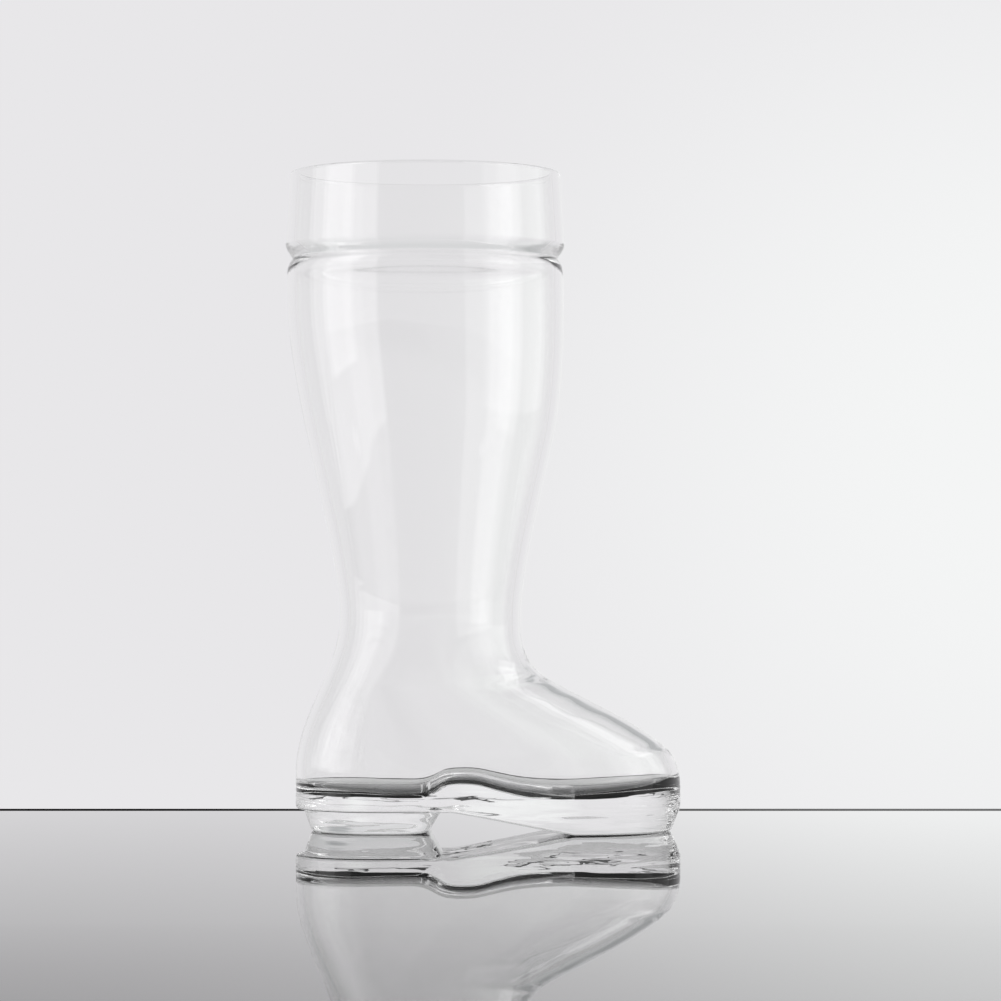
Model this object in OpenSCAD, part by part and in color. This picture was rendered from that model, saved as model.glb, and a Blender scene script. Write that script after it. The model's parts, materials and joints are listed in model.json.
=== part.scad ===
// A drinking glass in the shape of a boot: a thin blown leg and foot on a thick clear sole.
// The toe points along +X, the table is at Z = 0, and the boot is the same on both sides of Y = 0.
// Zero in X lies midway between the back of the cuff and the toe tip.

/* [Overall] */
// Height from the table to the lip
boot_h = 250; // [230:1:280]
// Length from the back of the cuff to the toe tip
boot_l = 150; // [142:1:165]
// Thickness of the blown wall
wall = 3.4; // [2.6:0.1:4.4]

/* [Rim and cuff] */
// Outer diameter of the cuff where it is widest, just above its rolled edge
cuff_d = 106; // [102:0.5:112]
// How far the cuff draws in on each side from there up to the lip
lip_in = 1.6; // [0:0.1:4]
// Height of the cuff with its rim
cuff_h = 32.4; // [26:0.2:40]
// Height of the fire-polished rim
rim_h = 3.2; // [2:0.1:6]
// Radius of the lip's two rounded edges
lip_r = 1.3; // [0.6:0.1:1.6]
// Height of the cuff's rolled lower edge
roll_h = 5; // [3:0.1:8]
// How far the rolled edge turns in
roll_in = 1.4; // [0.6:0.1:2]

/* [Neck ring] */
// Height of the ring that joins the cuff and the leg
neck_h = 8.6; // [7:0.1:14]
// Height of the groove under the cuff
groove_h = 1.8; // [1:0.1:3]
// Depth of the groove, from the leg's widest face
groove_in = 2.1; // [1:0.1:2.6]
// How far the inside swells in behind the groove
swell_in = 0.3; // [0.1:0.1:1.6]

/* [Leg] */
// How far the leg's shoulder stands inside the cuff on each side
shoulder_in = 0.5; // [0.2:0.1:2]
// Outer diameter of the ankle
ankle_d = 68.6; // [62:0.2:76]
// Height of the narrowest place of the ankle
ankle_z = 82; // [74:1:94]
// How far the ankle stands ahead of the cuff's axis
ankle_ahead = 2; // [0:0.5:6]

/* [Foot] */
// How far the heel stands in from the back of the cuff
heel_setback = 4; // [1:0.5:10]
// Width of the foot at the ball
ball_w = 72; // [66:0.5:80]
// Width of the foot at the heel
heel_w = 64; // [58:0.5:70]
// How far the waist is drawn in on each side
waist_in = 2.6; // [0:0.2:4]
// Height of the foot's upright band over the sole
welt_h = 5; // [1:0.5:9]
// Thickness of the foot's floor over the sole, at the heel
floor_t = 2.7; // [2:0.1:6]
// Height of the floor's hump over the arch
hump_h = 5; // [0:0.2:8]
// Radius between the wall and the floor inside
floor_r = 6.3; // [3:0.1:8]

/* [Sole and heel] */
// Thickness of the sole over the heel block
sole_t = 2.5; // [2:0.1:6]
// Height of the heel block
heel_h = 8.5; // [5:0.1:14]
// Length of the heel block at its top
heel_l = 52.7; // [44:0.1:58]
// Ledge between the sole's side and the top of the heel block
ledge = 3; // [1.5:0.1:5]
// How far the heel block draws in towards the table
heel_taper = 3; // [1:0.1:5]
// How far the heel's front face leans back towards the table
breast_lean = 5; // [0:0.5:9]
// Length of the arch's level part ahead of the heel block
arch_level_l = 4.3; // [1:0.1:12]
// Length of the forefoot's contact with the table, from the toe tip
tread_l = 39.3; // [32:0.1:48]
// How far the forefoot's side draws in towards the table
tread_taper = 3.6; // [1:0.1:5]
// Height of the forefoot's upright side, from there to the top of the sole
tread_side_h = 2; // [0.5:0.1:3]
// Radius of the edges that meet the table
edge_r = 1.3; // [0.5:0.1:1.9]

/* [Hidden] */
glass = [0.86, 0.93, 0.94, 0.45];

// Counts
ring_fn = 96;   // facets of a turned ring on screen
sides = 56;     // corners of each outline of the blown skin, a multiple of four
leg_rings = 15;
foot_rings = 22;
arc_steps = 5;
edge_steps = 3;

// Places along the boot
cuff_r = cuff_d / 2;
rim_r = cuff_r - lip_in;
leg_r = cuff_r - shoulder_in;
ankle_r = ankle_d / 2;
toe_x = boot_l / 2;
axis_x = cuff_r - boot_l / 2;
ankle_x = axis_x + ankle_ahead;
heel_x = heel_setback - boot_l / 2;

// Heights
sole_z = heel_h + sole_t;
welt_z = sole_z + welt_h;
tread_taper_z = sole_z - tread_side_h;
cuff_z = boot_h - cuff_h;
leg_top_z = cuff_z - neck_h;
rim_z = boot_h - rim_h;
foot_rise = ankle_z - welt_z;
leg_rise = leg_top_z - ankle_z;

// The leg's swelling from the ankle up, as shares of its height and of its gain in radius
leg_shares = [[0, 0], [0.1, 0.065], [0.22, 0.21], [0.34, 0.39], [0.46, 0.575], [0.58, 0.755],
    [0.7, 0.88], [0.82, 0.97], [0.92, 1], [1, 1]];
// The instep and toe from the welt up, as shares of the foot's rise and of the toe's reach
vamp_shares = [[0, 1], [0.1, 0.989], [0.17, 0.961], [0.22, 0.924], [0.3, 0.817], [0.4, 0.645],
    [0.5, 0.44], [0.58, 0.272], [0.64, 0.157], [0.72, 0.066], [0.82, 0.016], [0.92, 0], [1, 0]];
// The floor inside from heel to toe, as shares of the boot's length and of the hump's height
floor_shares = [[0, 0.02], [0.3, 0], [0.345, 0.08], [0.375, 0.42], [0.405, 0.86], [0.44, 1],
    [0.49, 0.94], [0.54, 0.56], [0.59, 0.22], [0.64, 0.02], [0.72, -0.1], [0.8, -0.04],
    [0.87, 0.08], [0.93, 0.18], [1, 0.26]];
heel_share = 0.1;       // of the foot's rise, up to which the heel keeps its widest place
lean_share = 0.5;       // of the leg's height, over which its axis moves to the ankle
heel_end_share = 0.21;  // of an outline's length, where the round back of the heel ends
ball_share = 0.73;      // of an outline's length, where the round toe begins
breast_share = 0.4;     // power that squares the heel block's front corners
slope_step_share = 0.01;

function clamp(t) = max(0, min(1, t));
function ease(t) = (1 - cos(180 * clamp(t))) / 2;
function mix(a, b, t) = a + (b - a) * t;

// Cubic curve through a table of places, level at both ends
function slope_at(tab, i) = i <= 0 || i >= len(tab) - 1 ? 0
    : (tab[i + 1][1] - tab[i - 1][1]) / (tab[i + 1][0] - tab[i - 1][0]);
function span_of(tab, x, i = 0) = i >= len(tab) - 2 || x < tab[i + 1][0] ? i : span_of(tab, x, i + 1);
function curve(tab, x) =
    let (i = span_of(tab, x), a = tab[i], b = tab[i + 1], l = b[0] - a[0], t = clamp((x - a[0]) / l))
    a[1] * (1 - t) * (1 - t) * (1 + 2 * t) + b[1] * t * t * (3 - 2 * t)
    + l * (slope_at(tab, i) * t * (1 - t) * (1 - t) - slope_at(tab, i + 1) * t * t * (1 - t));

// The blown skin: back, front and half width of its outline at height z
function leg_share(z) = (z - ankle_z) / leg_rise;
function foot_share(z) = clamp((z - welt_z) / foot_rise);
function leg_r_at(z) = mix(ankle_r, leg_r, curve(leg_shares, leg_share(z)));
function leg_x_at(z) = mix(axis_x, ankle_x, ease((1 - leg_share(z)) / lean_share));
function back_x(z) = z >= ankle_z ? leg_x_at(z) - leg_r_at(z)
    : mix(heel_x, ankle_x - ankle_r, ease((foot_share(z) - heel_share) / (1 - heel_share)));
function front_x(z) = z >= ankle_z ? leg_x_at(z) + leg_r_at(z)
    : mix(ankle_x + ankle_r, toe_x, curve(vamp_shares, foot_share(z)));
function foot_half_w(t) = t < heel_end_share ? heel_w / 2 * sqrt(1 - pow(1 - t / heel_end_share, 2))
    : t > ball_share ? ball_w / 2 * sqrt(1 - pow((t - ball_share) / (1 - ball_share), 2))
    : let (m = (t - heel_end_share) / (ball_share - heel_end_share))
      mix(heel_w, ball_w, ease(m)) / 2 - waist_in * pow(sin(180 * m), 2);
function ankle_mix(z) = ease(foot_share(z));
function widest(z) = z >= ankle_z ? leg_r_at(z) : mix(ball_w / 2, ankle_r, ankle_mix(z));
function half_w(t, z) = z >= ankle_z ? leg_r_at(z) * 2 * sqrt(t * (1 - t))
    : mix(foot_half_w(t), ankle_r * 2 * sqrt(t * (1 - t)), ankle_mix(z));

// How much further in the front has to lie so that the sloping instep keeps its thickness
function front_slope(z) =
    let (step = foot_rise * slope_step_share)
    z >= ankle_z ? 0 : (front_x(z + step) - front_x(z - step)) / (2 * step);
function slant(z) = sqrt(1 + pow(front_slope(z), 2));

// Point of the skin at angle u and height z, d inside its outer face
function skin(u, z, d = 0) =
    let (b = back_x(z) + d, f = front_x(z) - d * slant(z), t = (1 + cos(u)) / 2)
    [mix(b, f, t), half_w(t, z) * (1 - d / widest(z)) * sign(sin(u)), z];

// The floor inside: its height over the point x, and the fillet that rounds it into the wall
function floor_z(x) = sole_z + floor_t + hump_h * curve(floor_shares, (x + boot_l / 2) / boot_l);
function floor_z_under(u) = floor_z(skin(u, sole_z, wall)[0]);
function fillet_z(u) = floor_z_under(u) + floor_r;
function fillet(u, a) =
    let (p = skin(u, fillet_z(u), wall + floor_r * (1 - cos(a))))
    [p[0], p[1], fillet_z(u) - floor_r * sin(a)];
function inner_skin(u, t) = skin(u, mix(ankle_z, fillet_z(u), t), wall);

// The underside: level over the heel, then the arch's slope, then the tread on the table
breast_x = heel_x + ledge + heel_l;
arch_x = breast_x + arch_level_l;
tread_x = toe_x - tread_l;
function under_z(x) = heel_h * clamp((tread_x - x) / (tread_x - arch_x));

// Both stand on a rounded edge: e climbs it from 0 to 1, and t climbs the side above it
function round_in(e) = edge_r * (1 - sqrt(1 - pow(1 - e, 2)));
function sole_point(u, e, t) =
    let (x = skin(u, sole_z)[0], low = under_z(x), z = mix(low + edge_r * e, sole_z, t),
         drawn = (1 - low / heel_h) * tread_taper * max(0, 1 - z / tread_taper_z),
         p = skin(u, sole_z, drawn + round_in(e)))
    [p[0], p[1], z];

function heel_point(u, e, t) =
    let (z = mix(edge_r * e, heel_h, t), drawn = 1 - z / heel_h,
         d = heel_taper * drawn + round_in(e),
         b = heel_x + ledge + d,
         f = breast_x - breast_lean * drawn - round_in(e),
         c = cos(u), s = sin(u), q = c > 0 ? breast_share : 1)
    [(f + b) / 2 + (f - b) / 2 * sign(c) * pow(abs(c), q),
     (heel_w / 2 - ledge - d) * sign(s) * pow(abs(s), q),
     z];

// Angles of an outline's corners; a crease's own angle takes the place of the nearest corner
function angle_of(x) = acos((x - (toe_x + heel_x) / 2) / ((toe_x - heel_x) / 2));
function even_angles() = [for (k = [0 : sides - 1]) 360 * k / sides];
function snapped(a, crease) =
    abs(a - crease) <= 180 / sides ? crease : abs(a - (360 - crease)) <= 180 / sides ? 360 - crease : a;
sole_angles = [for (a = even_angles()) snapped(snapped(a, angle_of(arch_x)), angle_of(tread_x))];

// Faces of a skin of rings, each with the same number of corners
function band_faces(rings, n, closed = false) = [
    for (r = [0 : rings - (closed ? 1 : 2)], k = [0 : n - 1], half = [0, 1])
        let (a = r * n + k, b = ((r + 1) % rings) * n + k,
             c = ((r + 1) % rings) * n + (k + 1) % n, d = r * n + (k + 1) % n)
        half == 0 ? [a, b, c] : [a, c, d]];
// A cap of strips across a ring: it faces down, or up when turned
function cap_faces(n, first, up = false) = [
    for (k = [0 : n / 2 - 1], half = [0, 1])
        let (a = first + k, b = first + k + 1, c = first + n - k - 1, d = first + (n - k) % n,
             tri = half == 0 ? [a, b, c] : [a, c, d])
        if (tri[0] != tri[2] && tri[1] != tri[2] && tri[0] != tri[1])
            up ? [tri[2], tri[1], tri[0]] : tri];
function joined(rings) = [for (ring = rings, p = ring) p];

module capped_skin(rings) {
    n = len(rings[0]);
    polyhedron(points = joined(rings), faces = concat(
        band_faces(len(rings), n), cap_faces(n, 0), cap_faces(n, (len(rings) - 1) * n, up = true)));
}

module open_skin(rings) {
    polyhedron(points = joined(rings), faces = band_faces(len(rings), len(rings[0]), closed = true));
}

module turned(outline) {
    translate([axis_x, 0, 0]) rotate_extrude($fn = ring_fn) polygon(outline);
}

// Radius of the cuff's outer face, which flares a little from the lip down to the roll
function cuff_r_at(z) = mix(cuff_r, rim_r, clamp((z - cuff_z - roll_h) / (cuff_h - roll_h)));

// The lip: the open end, cut level and fire-polished so that both edges are round
module rim() color(glass) {
    turned(concat(
        [[cuff_r_at(rim_z) - wall, rim_z], [cuff_r_at(rim_z), rim_z]],
        [for (i = [0 : arc_steps]) let (a = 90 * i / arc_steps)
            [rim_r - lip_r + lip_r * cos(a), boot_h - lip_r + lip_r * sin(a)]],
        [for (i = [0 : arc_steps]) let (a = 90 + 90 * i / arc_steps)
            [rim_r - wall + lip_r + lip_r * cos(a), boot_h - lip_r + lip_r * sin(a)]]));
}

// The cuff: a straight band with a rolled lower edge that overhangs the groove
module cuff() color(glass) {
    turned(concat(
        [[cuff_r - wall - swell_in, cuff_z]],
        [for (i = [0 : arc_steps]) let (a = 90 * i / arc_steps)
            [cuff_r - roll_in * (1 - sin(a)), cuff_z + roll_h * (1 - cos(a))]],
        [[cuff_r_at(rim_z), rim_z], [cuff_r_at(rim_z) - wall, rim_z]],
        [for (i = [arc_steps : -1 : 1]) let (t = i / arc_steps)
            [cuff_r - wall - swell_in * (1 - ease(t)), cuff_z + roll_h * t]]));
}

// The neck ring: the pinched groove under the cuff and the shoulder that runs into the leg
module neck_ring() color(glass) {
    groove_r = leg_r - groove_in;
    shoulder_z = cuff_z - groove_h;
    turned(concat(
        [[leg_r - wall, leg_top_z]],
        [for (i = [0 : arc_steps]) let (a = 90 * i / arc_steps)
            [groove_r + groove_in * cos(a), mix(leg_top_z, shoulder_z, sin(a))]],
        [[groove_r, cuff_z]],
        [for (i = [arc_steps : -1 : 1]) let (t = i / arc_steps)
            [mix(leg_r - wall, cuff_r - wall - swell_in, ease(t)), leg_top_z + neck_h * t]]));
}

// The leg: a round blown tube that narrows in a long curve to the ankle
module leg() color(glass) {
    heights = [for (i = [0 : leg_rings]) mix(ankle_z, leg_top_z, i / leg_rings)];
    open_skin(concat(
        [for (z = heights) [for (u = even_angles()) skin(u, z)]],
        [for (i = [leg_rings : -1 : 0]) [for (u = even_angles()) skin(u, heights[i], wall)]]));
}

// The foot: heel, instep and toe in one blown shell, closed by a wavy floor that lies on the sole
module foot() color(glass) {
    capped_skin(concat(
        [[for (u = even_angles()) skin(u, sole_z)]],
        [for (i = [0 : foot_rings]) [for (u = even_angles()) skin(u, mix(welt_z, ankle_z, i / foot_rings))]],
        [for (i = [0 : foot_rings]) [for (u = even_angles()) inner_skin(u, i / foot_rings)]],
        [for (i = [1 : arc_steps]) [for (u = even_angles()) fillet(u, 90 * i / arc_steps)]]));
}

// The sole: solid glass under the foot, arched between the heel block and the tread
module sole() color(glass) {
    bend = (tread_taper_z - edge_r) / (sole_z - edge_r);
    capped_skin(concat(
        [for (i = [0 : edge_steps]) [for (u = sole_angles) sole_point(u, i / edge_steps, 0)]],
        [for (t = [bend, 1]) [for (u = sole_angles) sole_point(u, 1, t)]]));
}

// The heel: a solid block that draws in towards the table and leans back at its front face
module heel() color(glass) {
    capped_skin(concat(
        [for (i = [0 : edge_steps]) [for (u = even_angles()) heel_point(u, i / edge_steps, 0)]],
        [[for (u = even_angles()) heel_point(u, 1, 1)]]));
}

rim();
cuff();
neck_ring();
leg();
foot();
sole();
heel();
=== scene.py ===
import json
import math

import bmesh
import bpy
import numpy as np
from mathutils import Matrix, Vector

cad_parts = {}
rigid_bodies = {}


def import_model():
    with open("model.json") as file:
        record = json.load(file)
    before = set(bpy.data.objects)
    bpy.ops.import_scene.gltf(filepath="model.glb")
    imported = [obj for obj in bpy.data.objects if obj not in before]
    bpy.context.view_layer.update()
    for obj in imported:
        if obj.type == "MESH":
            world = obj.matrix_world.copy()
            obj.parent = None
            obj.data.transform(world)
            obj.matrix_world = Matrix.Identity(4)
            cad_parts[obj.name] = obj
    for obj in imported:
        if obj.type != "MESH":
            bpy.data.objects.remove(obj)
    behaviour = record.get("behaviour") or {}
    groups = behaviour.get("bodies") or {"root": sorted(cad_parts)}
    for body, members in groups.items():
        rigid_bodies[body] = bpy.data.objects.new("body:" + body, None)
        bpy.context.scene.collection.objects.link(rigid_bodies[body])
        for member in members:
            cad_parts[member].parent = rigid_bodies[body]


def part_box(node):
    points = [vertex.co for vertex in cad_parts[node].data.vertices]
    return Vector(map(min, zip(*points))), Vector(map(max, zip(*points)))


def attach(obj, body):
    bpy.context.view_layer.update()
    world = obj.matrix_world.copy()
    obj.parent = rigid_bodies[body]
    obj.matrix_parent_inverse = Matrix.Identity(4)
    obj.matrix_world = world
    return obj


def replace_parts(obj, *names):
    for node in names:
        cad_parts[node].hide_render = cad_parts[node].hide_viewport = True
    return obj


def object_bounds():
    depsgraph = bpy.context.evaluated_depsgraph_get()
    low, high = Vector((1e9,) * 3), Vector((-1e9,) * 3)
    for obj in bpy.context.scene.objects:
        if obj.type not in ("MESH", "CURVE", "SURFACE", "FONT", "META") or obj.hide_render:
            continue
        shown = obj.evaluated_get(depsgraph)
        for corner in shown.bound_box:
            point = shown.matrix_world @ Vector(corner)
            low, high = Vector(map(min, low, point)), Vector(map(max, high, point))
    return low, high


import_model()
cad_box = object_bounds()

# The heel is the solid block that carries the back of the boot. It is clear soda-lime glass,
# pressed in the mould with its sides drawn in towards the table and its front face leaning
# back, and it is fused to the sole above it.
mm = 0.001
weld = 0.0005 * mm
columns = 320
edge_rows = 10
heel_rows = 20
heel_low, heel_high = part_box("heel")
heel_h = heel_high.z
heel_taper = 3 * mm
breast_lean = 5 * mm
breast_share = 0.4
edge_r = 1.3 * mm


def mix(a, b, t):
    """The place a share t of the way from a to b."""
    return a + (b - a) * t


def points(x, y, z):
    """One array of points from three arrays, or numbers, of coordinates."""
    return np.stack(np.broadcast_arrays(x, y, z), -1)


def heel_block(u, z, inward=0.0):
    """The heel at angle u and height z: half an ellipse behind, and in front the same ellipse
    with its cosine and sine raised to a power under one, which squares its corners. It draws in
    evenly towards the table, and by inward more for its rounded edge."""
    drawn = 1 - z / heel_h
    depth = heel_taper * drawn + inward
    back = heel_low.x + depth
    front = heel_high.x - breast_lean * drawn - inward
    power = np.where(np.cos(u) > 0, breast_share, 1)
    c = np.sign(np.cos(u)) * np.abs(np.cos(u)) ** power
    s = np.sign(np.sin(u)) * np.abs(np.sin(u)) ** power
    return points(mix(back, front, (1 + c) / 2), (heel_high.y - depth) * s, z)


def glass_piece(name, sheets, faces=(), joints=()):
    """A closed mesh of sheets, which are grids of points and wrap round in columns where they
    are as wide as a ring, of flat faces of glass, and of joints, where the glass runs on into
    the next piece: a joint is one flat outline or the strip between two rings."""
    grids = list(sheets) + [joint for joint in joints if joint.ndim == 3]
    outlines = list(faces) + [joint for joint in joints if joint.ndim == 2]
    xyz, polygons, smooth, joined = [], [], [], []
    start = 0
    for i, grid in enumerate(grids):
        rows, width = grid.shape[:2]
        index = start + np.arange(rows * width).reshape(rows, width)
        left = index if width == columns else index[:, :-1]
        right = np.roll(index, -1, 1) if width == columns else index[:, 1:]
        quads = np.stack([left[:-1], right[:-1], right[1:], left[1:]], -1).reshape(-1, 4)
        xyz.append(grid.reshape(-1, 3))
        polygons += quads.tolist()
        smooth += [i < len(sheets)] * len(quads)
        joined += [i >= len(sheets)] * len(quads)
        start += rows * width
    for i, outline in enumerate(outlines):
        xyz.append(outline)
        polygons.append(list(range(start, start + len(outline))))
        smooth.append(False)
        joined.append(i >= len(faces))
        start += len(outline)
    mesh = bpy.data.meshes.new(name)
    mesh.from_pydata(np.concatenate(xyz), [], polygons)
    mesh.polygons.foreach_set("use_smooth", smooth)
    mesh.polygons.foreach_set("material_index", np.array(joined, np.int32))
    sewn = bmesh.new()
    sewn.from_mesh(mesh)
    bmesh.ops.remove_doubles(sewn, verts=sewn.verts, dist=weld)
    bmesh.ops.recalc_face_normals(sewn, faces=sewn.faces)
    sewn.to_mesh(mesh)
    sewn.free()
    keep_joints_sharp(mesh)
    piece = bpy.data.objects.new(name, mesh)
    bpy.context.scene.collection.objects.link(piece)
    piece.data.materials.append(glass)
    piece.data.materials.append(joint_face)
    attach(piece, "root")
    return piece


def keep_joints_sharp(mesh):
    """Marks the edges of the flat faces as sharp, so that a joint, which lies square to the
    glass beside it, doesn't tilt the smooth shading there."""
    smooth = np.empty(len(mesh.polygons), bool)
    sides = np.empty(len(mesh.polygons), np.int32)
    edge_of_corner = np.empty(len(mesh.loops), np.int32)
    mesh.polygons.foreach_get("use_smooth", smooth)
    mesh.polygons.foreach_get("loop_total", sides)
    mesh.loops.foreach_get("edge_index", edge_of_corner)
    sharp = np.zeros(len(mesh.edges), bool)
    sharp[edge_of_corner[np.repeat(~smooth, sides)]] = True
    mesh.edges.foreach_set("use_edge_sharp", sharp)


def linear(hex_colour):
    """The linear colour of an sRGB hex value."""
    srgb = [int(hex_colour[i:i + 2], 16) / 255 for i in (1, 3, 5)]
    return [c / 12.92 if c <= 0.04045 else ((c + 0.055) / 1.055) ** 2.4 for c in srgb] + [1.0]


def add(tree, kind, inputs=(), **settings):
    """Adds a node with its settings. Its inputs are given in their order, or by name or number.
    Each is a constant, a socket, or a node that stands for its own first socket."""
    node = tree.nodes.new(kind)
    for name, value in settings.items():
        setattr(node, name, value)
    for key, value in inputs.items() if isinstance(inputs, dict) else enumerate(inputs):
        if isinstance(value, bpy.types.Node):
            value = value.outputs[0]
        if isinstance(value, bpy.types.NodeSocket):
            tree.links.new(value, node.inputs[key])
        else:
            node.inputs[key].default_value = value
    return node


def new_material(name):
    """A node material that holds nothing but its output."""
    material = bpy.data.materials.new(name)
    material.use_nodes = True
    material.node_tree.nodes.clear()
    return material, material.node_tree, material.node_tree.nodes.new("ShaderNodeOutputMaterial")


# Soda-lime glass, blown and fire-polished: colourless, perfectly smooth to the touch, with
# long faint waves that the mould leaves in the walls, and shorter level ones in the thick
# sole, where the glass flowed as it was pressed. They bend what is seen through it a little.
wall_wave = 34 * mm
wall_wave_depth = 0.02 * mm
wall_wave_detail = 1.0
sole_wave = 28 * mm
sole_wave_depth = 0.5 * mm
sole_wave_detail = 1.5
sole_wave_flatness = 8.0
sole_wave_top = 20 * mm
sole_wave_full = 12 * mm
glass_ior = 1.52
softly = {"interpolation_type": "SMOOTHSTEP"}
glass, tree, output = new_material("soda_lime_glass")
place = add(tree, "ShaderNodeTexCoord").outputs["Object"]
height = add(tree, "ShaderNodeSeparateXYZ", [place]).outputs["Z"]
wall_noise = add(tree, "ShaderNodeTexNoise", {
    "Vector": place, "Scale": 1 / wall_wave, "Detail": wall_wave_detail}).outputs["Fac"]
flattened = add(tree, "ShaderNodeMapping", {"Vector": place, "Scale": (1, 1, sole_wave_flatness)})
sole_noise = add(tree, "ShaderNodeTexNoise", {
    "Vector": flattened, "Scale": 1 / sole_wave, "Detail": sole_wave_detail}).outputs["Fac"]
in_sole = add(tree, "ShaderNodeMapRange", [height, sole_wave_top, sole_wave_full], **softly)
sole_relief = add(tree, "ShaderNodeMath", [sole_noise, in_sole], operation="MULTIPLY")
sole_relief = add(tree, "ShaderNodeMath", [sole_relief, sole_wave_depth / mm], operation="MULTIPLY")
relief = add(tree, "ShaderNodeMath", [wall_noise, wall_wave_depth / mm, sole_relief],
             operation="MULTIPLY_ADD")
bump = add(tree, "ShaderNodeBump", {"Height": relief, "Distance": mm, "Strength": 1.0})
shader = add(tree, "ShaderNodeBsdfPrincipled", {
    "Base Color": linear("#fefefe"), "Roughness": 0.0, "IOR": glass_ior,
    "Transmission Weight": 1.0, "Normal": bump})
tree.links.new(shader.outputs["BSDF"], output.inputs["Surface"])

# The joint inside fused glass, which the eye can't see: light passes it as if it weren't there.
joint_face, tree, output = new_material("fused_glass_joint")
shader = add(tree, "ShaderNodeBsdfPrincipled", {"Alpha": 0.0, "IOR": glass_ior})
tree.links.new(shader.outputs["BSDF"], output.inputs["Surface"])

angles = 2 * np.pi * np.arange(columns) / columns
quarter_turn = np.linspace(0, np.pi / 2, edge_rows + 1)[:, None]
heel_top = heel_block(angles, heel_h)
rounding = heel_block(
    angles, edge_r * (1 - np.cos(quarter_turn)), edge_r * (1 - np.sin(quarter_turn)))
upright = heel_block(angles, np.linspace(edge_r, heel_h, heel_rows + 1)[:, None])
heel = glass_piece("heel_block", [rounding, upright], [rounding[0]], [heel_top])
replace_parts(heel, "heel")

# The sole is the solid glass that the foot stands on, pressed thick to make the glass steady.
# It is one body of clear glass with the foot and the heel, arched between the heel and the
# tread, and its lower edge is rounded all round.
sole_rows = 40
under_rows = 36
sole_low, sole_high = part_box("sole")
sole_back_x, toe_x, sole_z = sole_low.x, sole_high.x, sole_high.z
ball_half_w = 36 * mm
back_half_w = 32 * mm
waist_in = 2.6 * mm
back_end_share = 0.21
ball_share = 0.73
arch_level_l = 4.3 * mm
tread_l = 39.3 * mm
tread_taper = 3.6 * mm
tread_side_h = 2 * mm
crease_r = 1.6 * mm
arch_x = heel_high.x + arch_level_l
tread_x = toe_x - tread_l


def clamp(t):
    """t kept between 0 and 1."""
    return np.clip(t, 0, 1)


def ease(t):
    """Half a cosine wave from 0 to 1, level at both ends."""
    return (1 - np.cos(np.pi * clamp(t))) / 2


def cosine_rows(count):
    """Shares from 0 to 1, closest together at both ends."""
    return ease(np.linspace(0, 1, count + 1))


def sole_half_width(t):
    """Half width of the sole a share t of the way from heel to toe: a quarter of an ellipse at
    each end, and between them a swell to the ball, drawn in at the waist."""
    m = clamp((t - back_end_share) / (ball_share - back_end_share))
    middle = mix(back_half_w, ball_half_w, ease(m)) - waist_in * np.sin(np.pi * m) ** 2
    back_end = back_half_w * np.sqrt(1 - clamp(1 - t / back_end_share) ** 2)
    toe_end = ball_half_w * np.sqrt(1 - clamp((t - ball_share) / (1 - ball_share)) ** 2)
    return np.where(t < back_end_share, back_end, np.where(t > ball_share, toe_end, middle))


def sole_outline(u, z, inward=0.0):
    """The sole's outline at angle u and height z: from back to toe with the cosine of u."""
    t = (1 + np.cos(u)) / 2
    across = sole_half_width(t) * (1 - inward / ball_half_w) * np.sign(np.sin(u))
    return points(mix(sole_back_x + inward, toe_x - inward, t), across, z)


def soft_ramp(distance, width):
    """Zero below zero and the distance itself above, with a parabola over width each way."""
    near = (distance + width) ** 2 / (4 * width)
    return np.where(distance < -width, 0, np.where(distance > width, distance, near))


def underside(x):
    """Height of the underside: level over the heel, a straight slope down, level on the table."""
    fall = soft_ramp(x - arch_x, crease_r) - soft_ramp(x - tread_x, crease_r)
    return heel_h * (1 - fall / (tread_x - arch_x))


def sole_side(z, inward=0.0):
    """The sole's side at height z, drawn in towards the table along the tread."""
    taper_z = sole_z - tread_side_h
    drawn = (1 - under_edge / heel_h) * tread_taper * soft_ramp(taper_z - z, crease_r) / taper_z
    return sole_outline(angles, z, drawn + inward)


under_edge = underside(sole_outline(angles, sole_z)[:, 0])
rounding = sole_side(
    under_edge + edge_r * (1 - np.cos(quarter_turn)), edge_r * (1 - np.sin(quarter_turn)))
upright = sole_side(mix(under_edge + edge_r, sole_z, cosine_rows(sole_rows)[:, None]))

# The arch is stretched straight across from side to side. Behind it the underside is level,
# and two flat faces, one on each side, surround the top of the heel.
rim_below = rounding[0]
half = columns // 2
last = np.flatnonzero(rim_below[:half, 0] >= arch_x - crease_r)[-1] + 1
near_edge, far_edge = rim_below[:last + 1], rim_below[-np.arange(last + 1)]
arch = mix(near_edge, far_edge, np.linspace(0, 1, under_rows + 1)[:, None, None])
arch_end = arch[:, last]
level_faces = [np.concatenate([
    rim_below[side * np.arange(last, half + 1)], heel_top[side * np.arange(half, -1, -1)],
    arch_end[::-side][under_rows // 2:][:-1]]) for side in (1, -1)]
sole = glass_piece("thick_sole", [rounding, upright, arch], level_faces, [upright[-1], heel_top])
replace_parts(sole, "sole")

# The foot is the heel, instep and toe of the boot: one shell of clear glass, blown into a
# two-part mould, smooth on both faces. The floor inside is the fire-smooth top of the thick
# sole, with a hump over the arch.
foot_rows = 100
fillet_rows = 16
floor_rows = 28
band_rows = 4
welt_h = 5 * mm
ankle_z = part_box("foot")[1].z
welt_z = sole_z + welt_h
foot_rise = ankle_z - welt_z
wall = 3.4 * mm
ankle_r = 34.3 * mm
ankle_x = -20 * mm
floor_t = 2.7 * mm
hump_h = 5 * mm
floor_r = 6.3 * mm
upright_share = 0.1
slope_step_share = 0.01
boot_back_x = cad_box[0][0]
boot_l = toe_x - boot_back_x
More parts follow.
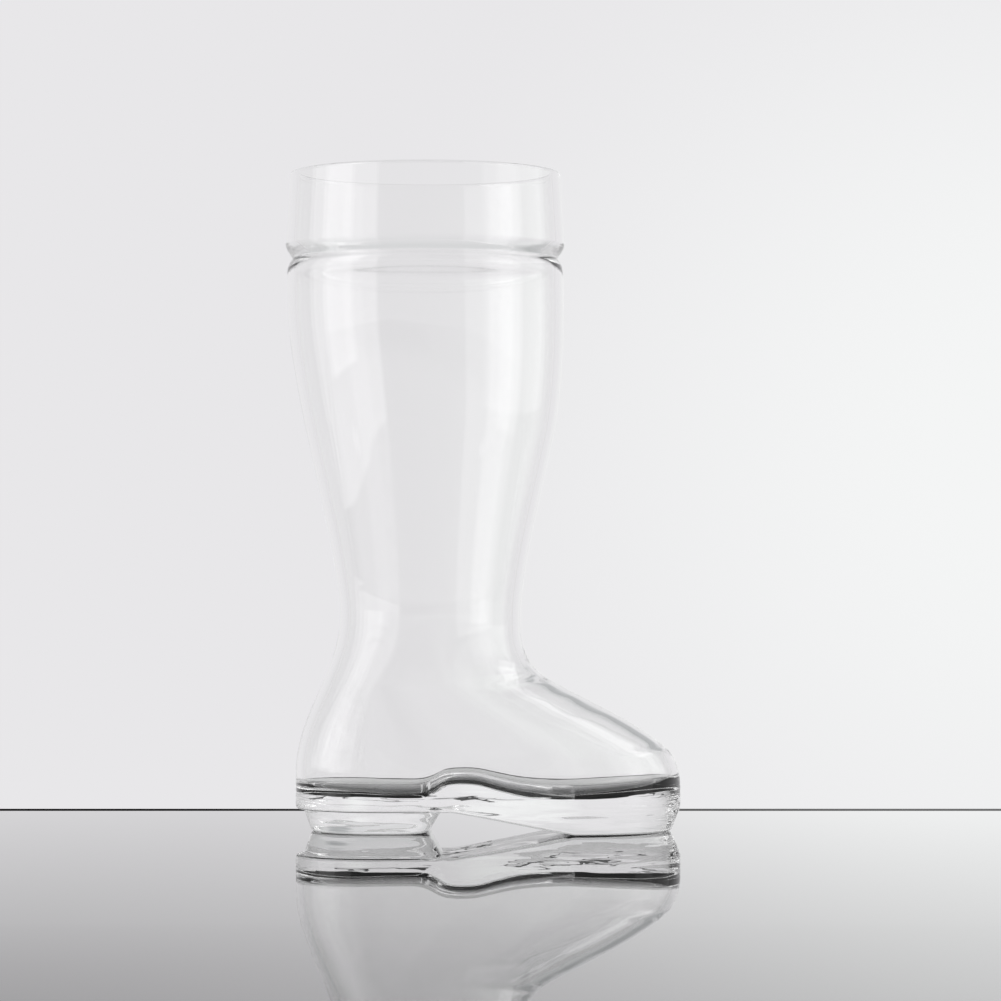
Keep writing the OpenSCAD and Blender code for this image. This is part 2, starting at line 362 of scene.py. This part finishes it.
# The instep and toe from the welt up, as shares of the foot's rise and of the toe's reach
vamp_shares = [(0, 1), (0.1, 0.989), (0.17, 0.961), (0.22, 0.924), (0.3, 0.817), (0.4, 0.645),
               (0.5, 0.44), (0.58, 0.272), (0.64, 0.157), (0.72, 0.066), (0.82, 0.016),
               (0.92, 0), (1, 0)]
# The floor from heel to toe, as shares of the boot's length and of the hump's height
floor_shares = [(0, 0.02), (0.3, 0), (0.345, 0.08), (0.375, 0.42), (0.405, 0.86), (0.44, 1),
                (0.49, 0.94), (0.54, 0.56), (0.59, 0.22), (0.64, 0.02), (0.72, -0.1),
                (0.8, -0.04), (0.87, 0.08), (0.93, 0.18), (1, 0.26)]


def curve(table, x):
    """Cubic curve through a table of places: level at both ends, and at each place between
    them parallel to the line that joins the two places beside it."""
    at, value = np.array(table, float).T
    slope = np.zeros(len(at))
    slope[1:-1] = (value[2:] - value[:-2]) / (at[2:] - at[:-2])
    i = np.clip(np.searchsorted(at, x, side="right") - 1, 0, len(at) - 2)
    span = at[i + 1] - at[i]
    t = clamp((x - at[i]) / span)
    ends = value[i] * (1 - t) ** 2 * (1 + 2 * t) + value[i + 1] * t ** 2 * (3 - 2 * t)
    return ends + span * (slope[i] * t * (1 - t) ** 2 - slope[i + 1] * t ** 2 * (1 - t))


def front_of_foot(z):
    """The instep and toe: the front of the ankle moved out by its share of the toe's reach."""
    return mix(ankle_x + ankle_r, toe_x, curve(vamp_shares, (z - welt_z) / foot_rise))


def foot_skin(u, z, depth=0.0):
    """The foot at angle u and height z, depth inside its outer face. It goes from back to front
    with the cosine of u, and its half width turns from the sole's outline into the round ankle
    as it climbs. Where the instep slopes, depth is taken along the slope, so that the wall
    keeps its thickness."""
    share = clamp((z - welt_z) / foot_rise)
    step = slope_step_share * foot_rise
    slope = (front_of_foot(z + step) - front_of_foot(z - step)) / (2 * step)
    climbed = ease((share - upright_share) / (1 - upright_share))
    back = mix(sole_back_x, ankle_x - ankle_r, climbed) + depth
    front = front_of_foot(z) - depth * np.sqrt(1 + slope ** 2)
    t = (1 + np.cos(u)) / 2
    half_w = mix(sole_half_width(t), ankle_r * np.abs(np.sin(u)), ease(share))
    widest = mix(ball_half_w, ankle_r, ease(share))
    return points(mix(back, front, t), half_w * (1 - depth / widest) * np.sign(np.sin(u)), z)


def floor_height(x):
    """The floor inside over the place x: level at the heel, a hump over the arch, and a slow
    rise into the toe."""
    return sole_z + floor_t + hump_h * curve(floor_shares, (x - boot_back_x) / boot_l)


climb = cosine_rows(foot_rows)[:, None]
band = np.linspace(sole_z, welt_z, band_rows + 1)[:-1, None]
outside = foot_skin(angles, np.concatenate([band, mix(welt_z, ankle_z, climb)]))
fillet_z = floor_height(foot_skin(angles, sole_z, wall)[:, 0]) + floor_r
inside = foot_skin(angles, mix(fillet_z, ankle_z, climb), wall)
turn = np.linspace(0, np.pi / 2, fillet_rows + 1)[:, None]
fillet = foot_skin(angles, fillet_z, wall + floor_r * (1 - np.cos(turn)))
fillet[..., 2] -= floor_r * np.sin(turn)
floor = mix(fillet[-1][:half + 1], fillet[-1][-np.arange(half + 1)],
            np.linspace(0, 1, floor_rows + 1)[:, None, None])
foot = glass_piece("blown_foot", [outside, inside, fillet, floor],
                   joints=[outside[0], np.stack([outside[-1], inside[-1]])])
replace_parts(foot, "foot")

# The leg is a round tube of clear glass, blown in the same mould as the foot. It is narrowest
# at the ankle and swells in a long curve to the shoulder under the cuff.
leg_rows = 130
ring_low, ring_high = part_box("neck_ring")
leg_top_z = ring_low.z
leg_r = (ring_high.x - ring_low.x) / 2
axis_x = (ring_low.x + ring_high.x) / 2
lean_share = 0.5
# Its swelling from the ankle up, as shares of its height and of its gain in radius
leg_shares = [(0, 0), (0.1, 0.065), (0.22, 0.21), (0.34, 0.39), (0.46, 0.575), (0.58, 0.755),
              (0.7, 0.88), (0.82, 0.97), (0.92, 1), (1, 1)]


def leg_skin(share, depth=0.0):
    """Rings of the leg a share of the way up from the ankle, depth inside its outer face, on an
    axis that moves forward to the ankle over the lower half."""
    radius = mix(ankle_r, leg_r, curve(leg_shares, share)) - depth
    centre = mix(axis_x, ankle_x, ease((1 - share) / lean_share))
    return points(centre + radius * np.cos(angles), radius * np.sin(angles),
                  mix(ankle_z, leg_top_z, share))


def tube(name, node, outside, inside):
    """A piece of the boot that is open at both ends and joined there to the next piece."""
    ends = [np.stack([outside[i], inside[i]]) for i in (0, -1)]
    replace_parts(glass_piece(name, [outside, inside], joints=ends), node)


climb = cosine_rows(leg_rows)[:, None]
tube("blown_leg", "leg", leg_skin(climb), leg_skin(climb, wall))

# The neck ring is where the mould pinches the glass: a round shoulder on top of the leg, and a
# soft narrow groove that turns into the cuff's roll. Inside, the glass stays nearly straight.
neck_rows = 48
cuff_low, cuff_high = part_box("cuff")
cuff_z = cuff_low.z
cuff_r = cuff_high.x - axis_x
roll_h = 5 * mm
swell_in = 0.3 * mm
# Its outer face and the cuff's roll, as heights over the leg and depths inside the cuff, in mm
neck_places = [(0, 0.5), (2.6, 0.56), (4.6, 0.85), (6, 1.35), (7.2, 2.2), (8, 2.55), (8.8, 2.2),
               (10.2, 1.25), (11.6, 0.5), (12.7, 0.12), (13.6, 0)]


def turned(profile):
    """Rings that a profile of radii and heights sweeps round the axis of the cuff."""
    r, z = np.concatenate(profile).T[..., None]
    return points(axis_x + r * np.cos(angles), r * np.sin(angles), z)


def neck_face(z0, z1):
    """The outer profile between two heights: the cuff's radius less the neck's depth there."""
    z = np.linspace(z0, z1, neck_rows + 1)
    return np.column_stack([cuff_r - mm * curve(neck_places, (z - leg_top_z) / mm), z])


t = np.linspace(0, 1, neck_rows + 1)
inner = np.column_stack([mix(leg_r, cuff_r - swell_in, ease(t)) - wall, mix(leg_top_z, cuff_z, t)])
tube("neck_groove", "neck_ring", turned([neck_face(leg_top_z, cuff_z)]), turned([inner]))

# The cuff is the straight band round the top, blown with the rest. It draws in a little
# towards the lip, and its lower edge rolls in over the groove.
cuff_rows = 30
rim_low, rim_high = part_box("rim")
rim_z, boot_h = rim_low.z, rim_high.z
lip_in = 1.6 * mm


def cuff_r_at(z):
    """Radius of the cuff, which draws in evenly from its roll to the lip."""
    return mix(cuff_r, cuff_r - lip_in, clamp((z - cuff_z - roll_h) / (boot_h - cuff_z - roll_h)))


def straight(z0, z1, rows):
    """The straight stretch of the cuff's profile between two heights."""
    z = np.linspace(z0, z1, rows + 1)
    return np.column_stack([cuff_r_at(z), z])


band = straight(cuff_z + roll_h, rim_z, cuff_rows)
roll = neck_face(cuff_z, cuff_z + roll_h)
roll_inside = np.column_stack([cuff_r - wall - swell_in * (1 - ease(t)), cuff_z + roll_h * t])
tube("cuff_band", "cuff", turned([roll, band[1:]]),
     turned([roll_inside, band[1:] - [wall, 0]]))

# The rim is the lip that one drinks from: the cut end of the cuff, melted in a flame until
# both its edges ran round and smooth.
rim_rows = 8
turn_rows = 14
lip_r = 1.3 * mm
lip_z = boot_h - lip_r
rim_r = cuff_r - lip_in


def quarter(r0, z0, r1, z1, level_first):
    """A quarter of an ellipse between two points of a profile, leaving the first one either
    level or upright."""
    a = np.linspace(0, np.pi / 2, turn_rows + 1)
    along, up = (np.sin(a), 1 - np.cos(a)) if level_first else (1 - np.cos(a), np.sin(a))
    return np.column_stack([mix(r0, r1, along), mix(z0, z1, up)])


band = straight(rim_z, lip_z, rim_rows)
profile = [band, quarter(cuff_r_at(lip_z), lip_z, rim_r - lip_r, boot_h, False)[1:],
           quarter(rim_r - wall + lip_r, boot_h, cuff_r_at(lip_z) - wall, lip_z, True),
           (band[:-1] - [wall, 0])[::-1]]
rings = turned(profile)
rim = glass_piece("fire_polished_rim", [rings], joints=[np.stack([rings[0], rings[-1]])])
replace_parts(rim, "rim")

# The table is a slab of polished glass with a dark back, which ends a little behind the boot at
# a dark ground edge. It mirrors the boot and the backdrop, and a painted sheen makes it paler to
# the right and at the far edge.
table_left, table_right = -2.4, 2.4
table_front, table_back = -4.0, 0.116
edge_depth = 14 * mm


def flat_sheet(name, x0, y0, x1, y1):
    """A level rectangle at the table's height, which belongs to the studio."""
    mesh = bpy.data.meshes.new(name)
    mesh.from_pydata([(x0, y0, 0), (x1, y0, 0), (x1, y1, 0), (x0, y1, 0)], [], [(0, 1, 2, 3)])
    sheet = bpy.data.objects.new(name, mesh)
    bpy.context.scene.collection.objects.link(sheet)
    return sheet


# Polished glass with a dark back: at a low angle it is a mirror, and from above one sees its pale
# cloudy body. A painted sheen makes it a better mirror towards the right and the far edge. What
# the boot bends down to the table under its own sole is painted dark, as painted shade in an
# ellipse with a narrow soft border. Far in front of the boot the gloss is dimmed as painted shade.
shade_half_l = 45.45 * mm
shade_half_w = 37.04 * mm
shade_outside, shade_inside = 1.04, 0.92
shade_dulling = 0.6
steep_facing, level_facing = 0.78, 0.9
front_shade_y, unshaded_y = -0.6, -0.38
front_shade_gloss = 0.8
near_y, far_y = -0.4, 0.11
far_painted_sheen = 0.41
left_x, right_x = -0.14, 0.22
right_painted_sheen = 0.45
# Where a Mix node of colours has its share, its two colours and its result
mix_share, mix_from, mix_to, mix_result = 0, 6, 7, 2
in_colour = {"data_type": "RGBA"}
polished, tree, output = new_material("polished_table_glass")
place = add(tree, "ShaderNodeTexCoord").outputs["Object"]
axes = add(tree, "ShaderNodeSeparateXYZ", [place]).outputs
from_boot = add(tree, "ShaderNodeVectorMath", [place, (1 / shade_half_l, 1 / shade_half_w, 0)],
                operation="MULTIPLY")
from_boot = add(tree, "ShaderNodeVectorMath", [from_boot], operation="LENGTH").outputs["Value"]
in_shade = add(tree, "ShaderNodeMapRange", [from_boot, shade_outside, shade_inside], **softly)
through_glass = add(tree, "ShaderNodeLightPath").outputs["Is Transmission Ray"]
painted_shade_under_boot = add(tree, "ShaderNodeMath", [in_shade, through_glass], operation="MULTIPLY")
facing = add(tree, "ShaderNodeLayerWeight", {"Blend": 0.5}).outputs["Facing"]
low_angle = add(tree, "ShaderNodeMapRange", [facing, steep_facing, level_facing], **softly)
# Painted shade: where the table is seen through the glass inside the ellipse, it is painted near
# black.
steep = add(tree, "ShaderNodeMix", {
    mix_share: painted_shade_under_boot, mix_from: linear("#f7f7f7"), mix_to: linear("#060708")},
    **in_colour).outputs[mix_result]
body = add(tree, "ShaderNodeMix", {
    mix_share: low_angle, mix_from: steep, mix_to: linear("#060606")},
    **in_colour).outputs[mix_result]
glossy = add(tree, "ShaderNodeBsdfPrincipled", {"Base Color": body, "Roughness": 0.0, "IOR": 1.5})
front_matt_shade = add(tree, "ShaderNodeBsdfDiffuse", {"Color": body})
# Painted shade: towards the front a fifth of the gloss gives way to the matt dark body, which
# darkens the table there.
gloss = add(tree, "ShaderNodeMapRange", [axes["Y"], front_shade_y, unshaded_y, front_shade_gloss, 1.0])
gloss = add(tree, "ShaderNodeMath", [painted_shade_under_boot, -shade_dulling, gloss], operation="MULTIPLY_ADD")
slab = add(tree, "ShaderNodeMixShader", [gloss, front_matt_shade, glossy])
# Painted sheen: the mirror's share grows towards the far edge and to the right, in place of the
# light that falls there.
painted_sheen_share = add(tree, "ShaderNodeMapRange", [axes["Y"], near_y, far_y, 0.0, far_painted_sheen])
right_sheen_share = add(tree, "ShaderNodeMapRange", [axes["X"], left_x, right_x, 0.0, right_painted_sheen],
                  **softly)
painted_sheen_share = add(tree, "ShaderNodeMath", [painted_sheen_share, right_sheen_share], operation="ADD")
painted_sheen_share = add(tree, "ShaderNodeMath", [painted_sheen_share, low_angle], operation="MULTIPLY")
mirror = add(tree, "ShaderNodeBsdfAnisotropic", {"Color": linear("#ffffff"), "Roughness": 0.0})
surface = add(tree, "ShaderNodeMixShader", [painted_sheen_share, slab, mirror])
tree.links.new(surface.outputs["Shader"], output.inputs["Surface"])
table = flat_sheet("table", table_left, table_front, table_right, table_back)
table.data.materials.append(polished)

# Ground glass: matt and dark, and painted paler towards the right as painted light from the
# backdrop.
edge_left_x, edge_right_x = -0.16, 0.2
edge_dark, edge_pale = 0.004, 0.26
ground, tree, output = new_material("ground_table_edge")
place = add(tree, "ShaderNodeTexCoord").outputs["Object"]
across_edge = add(tree, "ShaderNodeSeparateXYZ", [place]).outputs["X"]
# Painted light: the colour runs from dark on the left to paler on the right.
painted_light_tone = add(tree, "ShaderNodeMapRange", [
    across_edge, edge_left_x, edge_right_x, edge_dark, edge_pale], **softly)
shader = add(tree, "ShaderNodeBsdfPrincipled", {
    "Base Color": painted_light_tone, "Roughness": 0.9, "Specular IOR Level": 0.0})
tree.links.new(shader.outputs["BSDF"], output.inputs["Surface"])
edge = flat_sheet("table_edge", table_left, table_back, table_right, table_back + edge_depth)
edge.data.materials.append(ground)

# The studio is a pale paper backdrop, brightest behind the toe, with less light high up and from
# the sides and the front. A grey flag above it on the right draws the line along the instep,
# and soft boxes beside the table draw the long highlights on the glass.
glow_direction = (0.14, 0.99, 0.03)
glow_border, glow_core = 0.19, 0.02
low_z, high_z = 0.13, 0.45
side_y, back_y = 0.2, 0.97
flag_direction = (0.33, 0.83, 0.44)
flag_border, flag_core = 0.22, 0.12
world = bpy.data.worlds.new("studio")
bpy.context.scene.world = world
world.use_nodes = True
tree = world.node_tree
direction = add(tree, "ShaderNodeTexCoord").outputs["Generated"]
axes = add(tree, "ShaderNodeSeparateXYZ", [direction]).outputs
from_glow = add(tree, "ShaderNodeVectorMath", [direction, glow_direction], operation="DISTANCE")
glow = add(tree, "ShaderNodeMapRange", [
    from_glow.outputs["Value"], glow_border, glow_core], **softly)
paper = add(tree, "ShaderNodeMix", {
    mix_share: glow, mix_from: linear("#e8e7e9"), mix_to: linear("#f4f5f5")},
    **in_colour).outputs[mix_result]
high_up = add(tree, "ShaderNodeMapRange", [axes["Z"], low_z, high_z], **softly)
backdrop = add(tree, "ShaderNodeMix", {
    mix_share: high_up, mix_from: paper, mix_to: linear("#d6d7d8")},
    **in_colour).outputs[mix_result]
behind_glass = add(tree, "ShaderNodeMapRange", [axes["Y"], side_y, back_y], **softly)
surround = add(tree, "ShaderNodeMix", {
    mix_share: behind_glass, mix_from: linear("#c6c6c6"), mix_to: backdrop},
    **in_colour).outputs[mix_result]
from_flag = add(tree, "ShaderNodeVectorMath", [direction, flag_direction], operation="DISTANCE")
flag = add(tree, "ShaderNodeMapRange", [
    from_flag.outputs["Value"], flag_border, flag_core], **softly)
room = add(tree, "ShaderNodeMix", {
    mix_share: flag, mix_from: surround, mix_to: linear("#b2b4b5")},
    **in_colour).outputs[mix_result]
tree.links.new(room, tree.nodes["Background"].inputs["Color"])

# The soft boxes light the glass alone, whose pieces all carry its two materials.
boot_glass = bpy.data.collections.new("boot_glass")
for piece in bpy.data.objects:
    if piece.type == "MESH" and len(piece.data.materials) == 2:
        boot_glass.objects.link(piece)


def softbox(name, start, end, foot_z, head_z, radiance):
    """An upright soft box between two ends, each at an angle in degrees, counted from the
    camera's side towards +X, and at a distance from the boot. The camera doesn't see it, and
    its strength is the least of 1 and the number of reflections on the way, so that it draws
    highlights and never shows as a white sheet through the clear walls."""
    ends = [distance * np.array([math.sin(math.radians(angle)), -math.cos(math.radians(angle))])
            for angle, distance in (start, end)]
    middle = (ends[0] + ends[1]) / 2
    width = ends[1] - ends[0]
    light = bpy.data.lights.new(name, "AREA")
    light.shape = "RECTANGLE"
    light.size = float(np.linalg.norm(width))
    light.size_y = head_z - foot_z
    light.energy = radiance * math.pi * light.size * light.size_y
    light.use_nodes = True
    tree = light.node_tree
    reflections = add(tree, "ShaderNodeLightPath").outputs["Glossy Depth"]
    strength = add(tree, "ShaderNodeMath", [reflections, 1.0], operation="MINIMUM")
    tree.links.new(strength.outputs["Value"], tree.nodes["Emission"].inputs["Strength"])
    box = bpy.data.objects.new(name, light)
    box.location = (middle[0], middle[1], (foot_z + head_z) / 2)
    box.rotation_euler = (math.pi / 2, 0, math.atan2(width[1], width[0]))
    box.visible_camera = False
    box.light_linking.receiver_collection = boot_glass
    bpy.context.scene.collection.objects.link(box)


softbox("left_panel", (-103, 0.42), (-40, 0.42), 0.03, 0.9, radiance=0.6)
softbox("left_core", (-90, 0.85), (-62, 0.85), 0.03, 1.1, radiance=0.75)
softbox("left_high", (-86, 0.8), (-58, 0.8), 0.5, 1.2, radiance=1.3)
softbox("right_panel", (46, 0.36), (117, 0.8), 0.083, 0.5, radiance=0.36)
softbox("right_core", (62, 0.54), (85, 0.54), 0.001, 0.45, radiance=0.36)
softbox("right_high", (88, 0.7), (124, 0.7), 0.42, 1.3, radiance=1.1)

# The camera stands 1.5 m in front of the boot, level with its ankle, and looks up a little. Its
# lens is long, so that the far side of the glass lies almost behind the near side.
camera_place = (0.0067, -1.5, 0.10264)
camera_tilt = 90.864
camera = bpy.data.cameras.new("camera")
camera.lens = 141.9
camera.sensor_width = 36
camera_object = bpy.data.objects.new("camera", camera)
camera_object.location = camera_place
camera_object.rotation_euler = (math.radians(camera_tilt), 0, 0)
bpy.context.scene.collection.objects.link(camera_object)
bpy.context.scene.camera = camera_object

# Light turns back and forth many times inside the thick sole and the pinched neck, and it also
# crosses the joints there, so it is followed for long enough that none of it is lost.
glass_bounces = 96
joint_crossings = 32
scene = bpy.context.scene
scene.view_settings.view_transform = "Standard"
scene.cycles.max_bounces = glass_bounces
scene.cycles.transmission_bounces = glass_bounces
scene.cycles.glossy_bounces = glass_bounces
scene.cycles.transparent_max_bounces = joint_crossings
